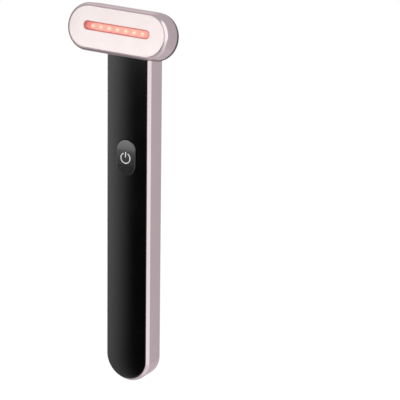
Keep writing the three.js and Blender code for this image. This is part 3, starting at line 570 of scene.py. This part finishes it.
def head_box(node):
    """The lowest and highest corner of a CAD node in the head's own leaning frame."""
    corners = frame["nodes"][node].data.vertices
    place = np.empty(len(corners) * 3)
    corners.foreach_get("co", place)
    turn = np.array(head_place.inverted())
    local = place.reshape(-1, 3) @ turn[:3, :3].T + turn[:3, 3]
    return local.min(axis=0), local.max(axis=0)


housing_low, housing_high = head_box("head_housing")
head_radius = housing_high[2]
head_core = housing_high[0] - head_radius
head_front = housing_low[1]
wall_middle = (head_front + housing_high[1]) / 2
wall_step = 1 * MM
cover_low, cover_high = head_box("head_back_cover")
cover_lip = 1.35 * MM
hairline = 0.02 * MM
housing_end = cover_high[1] - cover_lip - hairline
housing_wall = 1.5 * MM
head_inner = head_radius - housing_wall
rim_width = 1.24 * MM
rim_depth = 1.1 * MM
rim_crest = 0.22 * MM
rim_inner = head_radius - rim_width
rim_side_round = 0.6 * MM
rim_crest_round = 0.2 * MM
rim_lip_round = 0.06 * MM
rear_lip_round = 0.12 * MM
face_back = head_box("face_plate")[1][1]
face_ledge = face_back + seam
ledge_width = 1 * MM
ledge_depth = 1 * MM

housing_profile = rounded([
    (head_radius, wall_middle, 0),
    (head_radius, head_front + rim_depth, rim_side_round),
    (rim_inner + rim_crest, head_front, rim_crest_round),
    (rim_inner, head_front, rim_lip_round),
    (rim_inner, face_ledge, 0),
    (rim_inner - ledge_width, face_ledge, 0),
    (rim_inner - ledge_width, face_ledge + ledge_depth, 0),
    (head_inner, face_ledge + ledge_depth, 0),
    (head_inner, housing_end, 0),
    (head_radius, housing_end, rear_lip_round),
    (head_radius, wall_middle + wall_step, 0),
])
housing_skin = skin("housing_skin", obround(head_core, housing_profile), closed=True)
housing_skin.data.transform(head_place)

# Rose aluminium of the head: the handle's finish, with the bright cut on the head's own bevel.
rose_head = rose_metal("rose_anodised_aluminium_head", (-swivel_axis).tolist())
dress(housing_skin, rose_head, "head", "head_housing")

# Face plate
# The plate that touches the skin: aluminium with a fine, pale, pearly finish, let into the rim, with an
# obround slot whose edge is lightly rounded.

groove = 0.09 * MM
face_radius = rim_inner - groove
face_edge = 0.16 * MM
face_crown = 0.22 * MM
window_low, window_high = head_box("lamp_window")
window_flange = 1.4 * MM
lamp_rise = (window_high[2] + window_low[2]) / 2
slot_radius = (window_high[2] - window_low[2]) / 2 - window_flange
slot_core = window_high[0] - slot_radius - window_flange
slot_edge = 0.12 * MM
slot_front = head_front - face_crown

face_rows = crowned(face_radius, face_edge, face_crown, rings=12) + [0, head_front]
edge_rows = rounded([
    (*face_rows[-1], 0),
    (face_radius, head_front, face_edge),
    (face_radius, face_back, 0),
    (face_radius / 2, face_back, 0),
])
face_skin = skin("face_skin", obround(head_core, np.concatenate([face_rows, edge_rows[1:]])))
slot_profile = np.array([
    (slot_radius + slot_edge, slot_front - cutter_reach),
    (slot_radius + slot_edge, slot_front),
    (slot_radius, slot_front + slot_edge),
    (slot_radius, face_back + cutter_reach),
])
slot = skin("slot", obround(slot_core, slot_profile))
slot.data.transform(Matrix.Translation((0, 0, lamp_rise)))
carve(face_skin, slot)
face_skin.data.transform(head_place)

# Pearl-anodised aluminium: nearly white with a breath of rose, a soft sheen and a very fine grain, which
# is drawn at 0.2 mm.
pearl_face = grained(
    "pearl_satin_aluminium", ("#eadbda", "#ece0df"), grain=0.2 * MM, depth=0.001 * MM,
    uniform={"Metallic": 0.3, "IOR": 1.5}, rough=(0.36, 0.42),
)
dress(face_skin, pearl_face, "head", "face_plate")

# Lamp window and lamps
# A clear red insert with a thin front wall fills the slot. Seven lamps with round lenses stand close behind
# it on the lamp board, in a white tray that spreads their light.

window_gap = 0.12 * MM
window_wall = 0.35 * MM
window_radius = slot_radius - window_gap
window_front = window_low[1]
window_back = window_high[1]
window_inner = window_radius - window_wall
window_inner_round = 0.1 * MM
front_shares = np.array([0.3, 0.55, 0.68, 0.78, 0.88, 0.96])
front_rows = np.stack([window_radius * front_shares, np.full(len(front_shares), window_front)], axis=1)
window_rows = rounded([
    (*front_rows[-1], 0),
    (window_radius, window_front, fine_round),
    (window_radius, face_ledge, 0),
    (slot_radius + window_flange, face_ledge, fine_round),
    (slot_radius + window_flange, window_back, fine_round),
    (window_inner, window_back, 0),
    (window_inner, window_front + window_wall, window_inner_round),
    (window_radius / 3, window_front + window_wall, 0),
])
window_profile = np.concatenate([front_rows[:-1], window_rows])
window_rings = obround(slot_core, window_profile)
window_skin = skin("window_skin", window_rings)
window_skin.data.transform(Matrix.Translation((0, 0, lamp_rise)))
window_skin.data.transform(head_place)


def mark(piece, name, values):
    """Keeps one value for each of a piece's vertices, for its material to read."""
    attribute = piece.data.attributes.new(name, "FLOAT", "POINT")
    attribute.data.foreach_set("value", values)


window_reach = np.repeat(window_profile[:, 0] / window_radius, window_rings.shape[1])
mark(window_skin, "reach", window_reach)

# Clear tinted polycarbonate, lit from behind: pale red in the middle and darker along its rim, a painted
# shade for the slot wall's shadow on the window's edge. Faint clouds of 3 mm make the rim's start uneven.
window_cloud = 3 * MM
cloud_share = 0.1
# The darker last stop is painted shade along the window's rim
window_tint_and_rim_shade_stops = [(0.8, "#ffe2da"), (1.0, "#c47e78")]
window_red, window_tree, window_shader = new_material(
    "red_tinted_polycarbonate", {"Transmission Weight": 0.9, "IOR": 1.5, "Roughness": 0.06}
)
window_place = add(window_tree, "ShaderNodeTexCoord").outputs["Object"]
window_noise = add(window_tree, "ShaderNodeTexNoise", {"Vector": window_place, "Scale": 1 / window_cloud})
window_edge = add(window_tree, "ShaderNodeAttribute", attribute_name="reach")
uneven = add(
    window_tree, "ShaderNodeMath",
    {0: window_noise.outputs["Fac"], 1: cloud_share, 2: window_edge.outputs["Fac"]},
    operation="MULTIPLY_ADD",
)
window_tint_and_rim_shade = add(window_tree, "ShaderNodeValToRGB", {"Fac": uneven.outputs["Value"]}, window_tint_and_rim_shade_stops)
window_tree.links.new(window_tint_and_rim_shade.outputs["Color"], window_shader.inputs["Base Color"])
dress(window_skin, window_red, "head", "lamp_window")

# Epoxy lens of a lit lamp: a small warm white core whose light falls off to red towards the side.
lens_stops = [(0.25, "#ffeedd"), (0.5, "#ffd0bc"), (0.8, "#f0ac9e"), (1.0, "#d89288")]
lit_lens, lens_tree, lens_shader = new_material(
    "lit_epoxy_lens", {"Roughness": 0.2, "Emission Strength": 1.0}
)
from_axis = add(lens_tree, "ShaderNodeAttribute", attribute_name="from_axis")
lens_light = add(lens_tree, "ShaderNodeValToRGB", {"Fac": from_axis.outputs["Fac"]}, lens_stops)
lens_tree.links.new(lens_light.outputs["Color"], lens_shader.inputs["Emission Color"])
lens_tree.links.new(lens_light.outputs["Color"], lens_shader.inputs["Base Color"])

# Each lens is a dome on a short collar: at angle b from its tip the dome's radius is radius*sin(b), and its
# depth below the tip is radius*(1-cos(b)). The first ring lies at the tip share of the quarter turn.
lens_base = 0.5 * MM
lens_collar = 0.2 * MM
lens_rings = 10
tip_share = 0.03
bend = np.linspace(tip_share, 1, lens_rings) * np.pi / 2
lamp_names = [name for name in frame["nodes"] if name.startswith("lamp_") and name[5:].isdigit()]
for name in lamp_names:
    lamp_low, lamp_high = head_box(name)
    lamp_middle = (lamp_low + lamp_high) / 2
    collar_radius = (lamp_high[0] - lamp_low[0]) / 2
    lens_radius = collar_radius - lens_collar
    dome = np.stack([lens_radius * np.sin(bend), lamp_low[1] + lens_radius * (1 - np.cos(bend))], axis=1)
    foot = np.array([
        (lens_radius, lamp_high[1] - lens_base),
        (collar_radius, lamp_high[1] - lens_base),
        (collar_radius, lamp_high[1]),
    ])
    lens = skin(name + "_lens", obround(0, np.concatenate([dome, foot]), facets=16))
    lens_axis = [lamp_middle[0], 0, lamp_middle[2]]
    lens.data.transform(Matrix.Translation(lens_axis))
    place = np.empty(len(lens.data.vertices) * 3)
    lens.data.vertices.foreach_get("co", place)
    away = place.reshape(-1, 3) - lens_axis
    mark(lens, "from_axis", np.hypot(away[:, 0], away[:, 2]) / collar_radius)
    lens.data.transform(head_place)
    dress(lens, lit_lens, "head", name)

# White plastic under red light, whose glow is painted light: its emission stands in for the lamps' light
# falling on it. It is pink between the lamps and redder towards the two ends, from 12 to 16 mm from the
# middle, with faint clouds of 2 mm.
tray_cloud = 2 * MM
tray_fade = (12 * MM, 16 * MM)
tray_painted_glow_stops = [(0.0, "#e2b6ae"), (0.5, "#e6948e"), (1.0, "#d87472")]
# The emission is the painted light of the red lamps on the white tray and board
lit_white, tray_tree, tray_shader = new_material(
    "red_lit_white_plastic", {"Roughness": 0.5, "Emission Strength": 0.8}
)
tray_place = add(tray_tree, "ShaderNodeTexCoord").outputs["Object"]
apart = add(tray_tree, "ShaderNodeSeparateXYZ", {"Vector": tray_place})
aside = add(tray_tree, "ShaderNodeMath", {0: apart.outputs["X"]}, operation="ABSOLUTE")
cloud = add(tray_tree, "ShaderNodeTexNoise", {"Vector": tray_place, "Scale": 1 / tray_cloud})
far = add(
    tray_tree, "ShaderNodeMath",
    {0: cloud.outputs["Fac"], 1: tray_cloud, 2: aside.outputs["Value"]}, operation="MULTIPLY_ADD",
)
fade = add(
    tray_tree, "ShaderNodeMapRange",
    {"Value": far.outputs["Value"], "From Min": tray_fade[0], "From Max": tray_fade[1]},
)
tray_light = add(tray_tree, "ShaderNodeValToRGB", {"Fac": fade.outputs["Result"]}, tray_painted_glow_stops)
tray_tree.links.new(tray_light.outputs["Color"], tray_shader.inputs["Emission Color"])
tray_tree.links.new(tray_light.outputs["Color"], tray_shader.inputs["Base Color"])
finish_nodes(lit_white, "lamp_tray", "lamp_board")
finish_nodes(plain_steel, "lamp_board_screw_1", "lamp_board_screw_2")

# Polyimide heater film: amber, smooth, with its tracks just showing.
amber_film = grained(
    "amber_heater_film", ("#b0701f", "#c08030"), grain=1.5 * MM, depth=0.01 * MM,
    uniform={"Roughness": 0.3},
)
finish_nodes(amber_film, "warming_film")

# Back cover of the head
# The moulded black lid that closes the head. Its edge shows as a fine dark line round the rear of the
# housing, and the spindle comes out through its middle.

cover_radius = head_radius - hairline
cover_back = cover_high[1]
cover_sink = 0.17 * MM
cover_thickness = 1.6 * MM
cover_edge = 0.15 * MM
skirt_wall = 0.8 * MM
skirt_root_round = 0.1 * MM
skirt_radius = head_inner - seam
skirt_inner = skirt_radius - skirt_wall
spindle_radius = 2.3 * MM
bore_radius = spindle_radius + seam
bore_front, bore_back = -3 * MM, 1 * MM
cover_profile = rounded([
    (skirt_radius / 2, cover_back - cover_thickness, 0),
    (skirt_inner, cover_back - cover_thickness, skirt_root_round),
    (skirt_inner, cover_low[1], fine_round),
    (skirt_radius, cover_low[1], fine_round),
    (skirt_radius, cover_back - cover_lip, 0),
    (cover_radius, cover_back - cover_lip, fine_round),
    (cover_radius, cover_back, cover_edge),
    (cover_radius / 2, cover_back, 0),
])
cover_skin = skin("cover_skin", obround(head_core, cover_profile))
cover_skin.data.transform(Matrix.Translation((0, 0, -cover_sink)))
bore_profile = np.array([(bore_radius, bore_front), (bore_radius, bore_back)])
carve(cover_skin, skin("bore", obround(0, bore_profile)))
cover_skin.data.transform(head_place)
dress(cover_skin, matt_black, "head", "head_back_cover")

# Stage
# A pale floor well below the wand, so that the wand hangs clear of its own shadow. Graded light panels
# stand on both sides of the camera, with white paper below and on the left, and soft lamps above and
# behind.

floor_drop = 800 * MM
floor_reach = 3
floor_mesh = bpy.data.meshes.new("floor")
floor_corners = np.array([(-1, -1, 0), (1, -1, 0), (1, 1, 0), (-1, 1, 0)]) * floor_reach
floor_mesh.from_pydata((floor_corners - [0, 0, floor_drop]).tolist(), [], [range(4)])
floor = bpy.data.objects.new("floor", floor_mesh)
bpy.context.scene.collection.objects.link(floor)


def seen_directly(tree):
    """One for the camera's rays and for rays that a surface mirrored or let through, or else zero."""
    ray = add(tree, "ShaderNodeLightPath").outputs
    two_kinds = {0: ray["Is Camera Ray"], 1: ray["Is Glossy Ray"]}
    either = add(tree, "ShaderNodeMath", two_kinds, operation="MAXIMUM")
    three_kinds = {0: either.outputs["Value"], 1: ray["Is Transmission Ray"]}
    return add(tree, "ShaderNodeMath", three_kinds, operation="MAXIMUM").outputs["Value"]


# Painted board: white where it is seen or mirrored, with a quarter of the wand's soft shadow kept.
board_white = 1.25
shadow_kept = 0.25
board = bpy.data.materials.new("white_studio_board")
board.use_nodes = True
board_tree = board.node_tree
board_tree.nodes.clear()
matt = add(board_tree, "ShaderNodeBsdfDiffuse", {"Color": colour("#e8e8e8")})
white = add(board_tree, "ShaderNodeEmission", {"Color": colour("#ffffff"), "Strength": board_white})
lit_share = {0: seen_directly(board_tree), 1: 1 - shadow_kept}
share = add(board_tree, "ShaderNodeMath", lit_share, operation="MULTIPLY")
layers = {0: share.outputs["Value"], 1: matt.outputs["BSDF"], 2: white.outputs["Emission"]}
blend = add(board_tree, "ShaderNodeMixShader", layers)
add(board_tree, "ShaderNodeOutputMaterial", {"Surface": blend.outputs["Shader"]})
floor.data.materials.append(board)

wand_middle = np.array([0, 0, 80 * MM])


def towards(azimuth, elevation):
    """The direction from the wand at an azimuth, counted from the front towards the right, and an
    elevation: sin(a)cos(e) across, -cos(a)cos(e) in depth and sin(e) up. Both are given in degrees."""
    a, e = np.radians(azimuth), np.radians(elevation)
    return np.stack([np.sin(a) * np.cos(e), -np.cos(a) * np.cos(e), np.sin(e)], axis=-1)


def ramp(value, start, end):
    """Rises smoothly from 0 at the start to 1 at the end: 3s*s - 2s*s*s, with s the share of the way."""
    s = np.clip((value - start) / (end - start), 0, 1)
    return s * s * (3 - 2 * s)


panel_points = 61


def light_panel(name, azimuths, elevations, distance, brightness, shade="#ffffff"):
    """A curved panel round the wand's middle, part of a sphere: each point of its grid lies the distance
    away in the direction of its azimuth and elevation, and glows with the brightness for these two. It is
    diffusion cloth with light behind it, and casts no shadow."""
    azimuth, elevation = np.meshgrid(
        np.linspace(*azimuths, panel_points), np.linspace(*elevations, panel_points)
    )
    place = towards(azimuth, elevation) * distance + wand_middle
    corner = np.arange(panel_points - 1)[:, None] * panel_points + np.arange(panel_points - 1)
    corners = [corner, corner + panel_points, corner + panel_points + 1, corner + 1]
    faces = np.stack(corners, axis=-1).reshape(-1, 4)
    mesh = bpy.data.meshes.new(name)
    mesh.from_pydata(place.reshape(-1, 3).tolist(), [], faces.tolist())
    panel = bpy.data.objects.new(name, mesh)
    mark(panel, "level", brightness(azimuth, elevation).ravel())
    panel.visible_camera = False
    panel.visible_shadow = False
    bpy.context.scene.collection.objects.link(panel)
    cloth = bpy.data.materials.new(name + "_diffuser")
    cloth.use_nodes = True
    tree = cloth.node_tree
    tree.nodes.clear()
    graded = add(tree, "ShaderNodeAttribute", attribute_name="level")
    glow = add(tree, "ShaderNodeEmission", {"Color": colour(shade), "Strength": graded.outputs["Fac"]})
    add(tree, "ShaderNodeOutputMaterial", {"Surface": glow.outputs["Emission"]})
    mesh.materials.append(cloth)


def left_brightness(azimuth, elevation):
    """The sum of three regions, each a strength times smooth ramps. The lowest is bright on the left and
    dark on the right, which gives the black plate its gradient. The strip above it lights the upper half of
    the button, and the front above both lights the face, more from the middle than from the left."""
    below = 1.75 * ramp(azimuth, -26, -52) * (0.57 + 0.43 * ramp(elevation, -32, -14))
    below *= ramp(elevation, 4, -8)
    strip = 2.9 * ramp(elevation, -13.5, -5) * ramp(elevation, 12, 2)
    strip *= ramp(azimuth, -50, -36) * ramp(azimuth, -4, -16)
    front = (0.92 + 0.98 * ramp(azimuth, -45, 0)) * ramp(elevation, 2, 14)
    return below + strip + front


def right_brightness(azimuth, elevation):
    """An even level with two soft-edged strips on top of it: a lower one that the handle's bevel mirrors,
    and a stronger upper one that the right end of the head's bevel mirrors."""
    lower = ramp(azimuth, 48, 64) * ramp(azimuth, 92, 80) * ramp(elevation, 2, -6)
    upper = ramp(azimuth, 46, 58) * ramp(azimuth, 112, 100)
    upper *= ramp(elevation, -9, 6) * ramp(elevation, 76, 64)
    return 0.95 + 1.0 * lower + 1.5 * upper


def paper_brightness(azimuth, elevation):
    """White paper with a dark card on its left, for the dark line along the head's lower bevel. It is
    brighter on the right, where the light of the handle's bevel runs on round its lower end."""
    dark = ramp(azimuth, -136, -122) * ramp(azimuth, -48, -62)
    dark *= ramp(elevation, -78, -70) * ramp(elevation, 26, 8)
    bright = ramp(azimuth, 48, 64) * ramp(azimuth, 150, 120) * ramp(elevation, -88, -72)
    return 1.1 - 0.61 * dark + 0.45 * bright


panel_distance = 1.2
paper_distance = 0.8
light_panel(
    "left_panel", azimuths=(-78, 20), elevations=(-36, 42), distance=panel_distance,
    brightness=left_brightness,
)
light_panel(
    "right_panel", azimuths=(30, 124), elevations=(-66, 78), distance=panel_distance,
    brightness=right_brightness, shade="#f8fffe",
)
light_panel(
    "ground_panel", azimuths=(-180, 180), elevations=(-89, -40), distance=paper_distance,
    brightness=paper_brightness,
)
light_panel(
    "left_card", azimuths=(-140, -80), elevations=(-40, 46), distance=paper_distance,
    brightness=paper_brightness,
)


def aimed(azimuth, elevation):
    """The right, up and back directions of a lamp or a camera that looks at the wand from an azimuth and an
    elevation. Back points from the wand to it, right is level, and up is back crossed with right."""
    a = np.radians(azimuth)
    back = towards(azimuth, elevation)
    right = np.array([np.cos(a), np.sin(a), 0])
    return right, np.cross(back, right), back


def placed(spot, right, up, back):
    """The matrix that puts a lamp or a camera at a spot, turned to its right, up and back directions."""
    return Matrix.Translation(spot) @ Matrix(np.stack([right, up, back], axis=1).tolist()).to_4x4()


def soft_lamp(name, azimuth, elevation, distance, size, power):
    """A rectangular lamp that shines at the wand's middle from an azimuth and an elevation."""
    lamp = bpy.data.lights.new(name, "AREA")
    lamp.shape = "RECTANGLE"
    lamp.size, lamp.size_y = size
    lamp.energy = power
    holder = bpy.data.objects.new(name, lamp)
    right, up, back = aimed(azimuth, elevation)
    holder.matrix_world = placed(wand_middle + distance * back, right, up, back)
    holder.visible_camera = False
    bpy.context.scene.collection.objects.link(holder)


soft_lamp("top_lamp", azimuth=-130, elevation=52, distance=0.9, size=(0.8, 0.7), power=0.55)
soft_lamp("rear_lamp", azimuth=176, elevation=-46, distance=0.9, size=(0.7, 0.25), power=0.25)

# The world is white where it is seen or mirrored, and gives only a soft light to the matt surfaces
world_light = 0.35
world_white = 1.0
world = bpy.data.worlds.new("studio")
bpy.context.scene.world = world
world.use_nodes = True
world_tree = world.node_tree
world_tree.nodes.clear()
soft = add(world_tree, "ShaderNodeBackground", {"Color": colour("#ffffff"), "Strength": world_light})
seen = add(world_tree, "ShaderNodeBackground", {"Color": colour("#ffffff"), "Strength": world_white})
layers = {0: seen_directly(world_tree), 1: soft.outputs["Background"], 2: seen.outputs["Background"]}
blend = add(world_tree, "ShaderNodeMixShader", layers)
add(world_tree, "ShaderNodeOutputWorld", {"Surface": blend.outputs["Shader"]})

# Camera
# A long lens on the right and slightly above, a metre from the middle of the wand. The field is as wide as
# the picture at that distance, and the aim's two shifts put the wand to the left of the picture's middle.

camera_azimuth = 30.369
camera_elevation = 18.854
camera_roll = 0.792
camera_distance = 1.0
sensor_width = 36
field_width = 161.55 * MM
aim = wand_middle + [0, handle_front, 0]
aim_right = -29.42 * MM
aim_up = 0.777 * MM

level, upward, back = aimed(camera_azimuth, camera_elevation)
roll = np.radians(camera_roll)
right = np.cos(roll) * level + np.sin(roll) * upward
up = np.cos(roll) * upward - np.sin(roll) * level
camera = bpy.data.cameras.new("camera")
camera.sensor_width = sensor_width
camera.lens = sensor_width * camera_distance / field_width
camera_object = bpy.data.objects.new("camera", camera)
spot = aim + camera_distance * back - aim_right * right - aim_up * up
camera_object.matrix_world = placed(spot, right, up, back)
bpy.context.scene.collection.objects.link(camera_object)
bpy.context.scene.camera = camera_object

bpy.context.scene.view_settings.view_transform = "Standard"
